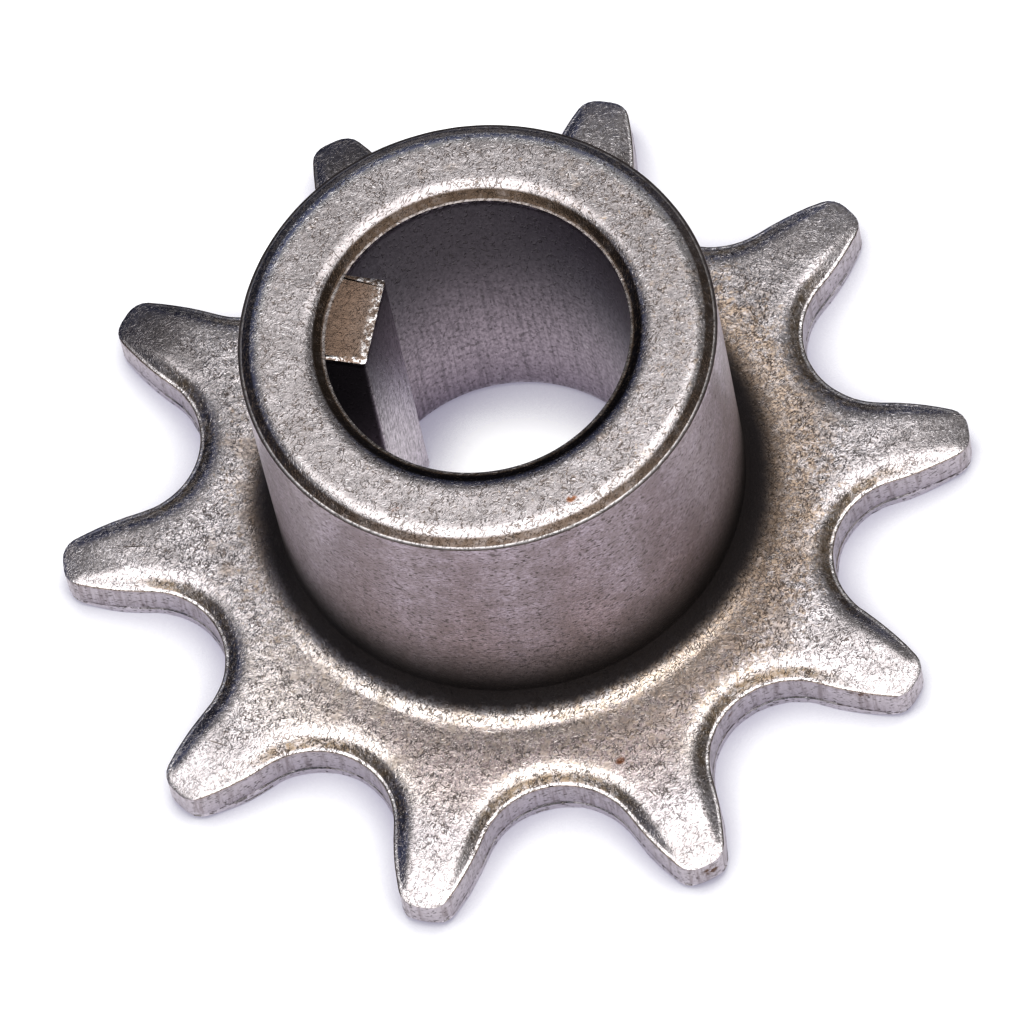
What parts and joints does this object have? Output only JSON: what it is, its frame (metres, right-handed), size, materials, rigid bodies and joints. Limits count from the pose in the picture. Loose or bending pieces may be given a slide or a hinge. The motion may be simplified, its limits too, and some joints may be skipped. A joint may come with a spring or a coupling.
{
  "type": "chain sprocket",
  "caption": "Small roller-chain sprocket: a thin toothed plate with a tall plain hub on one side and a keyed through bore, pressed and sintered in one piece.",
  "frame": {"origin": "on the bore's axis, at the toothed plate's flat bottom face", "axes": "+Z along the bore, from the plate up the hub; the key is on -X, in line with the middle of a tooth gap"},
  "size_m": [0.0442, 0.046, 0.02],
  "materials": {
    "sintered_steel": "bare sintered steel: tumbled, finely flecked faces with light brown rust stain, and smoother satin walls"
  },
  "bodies": {
    "root": {"sprocket": "sintered_steel"}
  },
  "joints": []
}
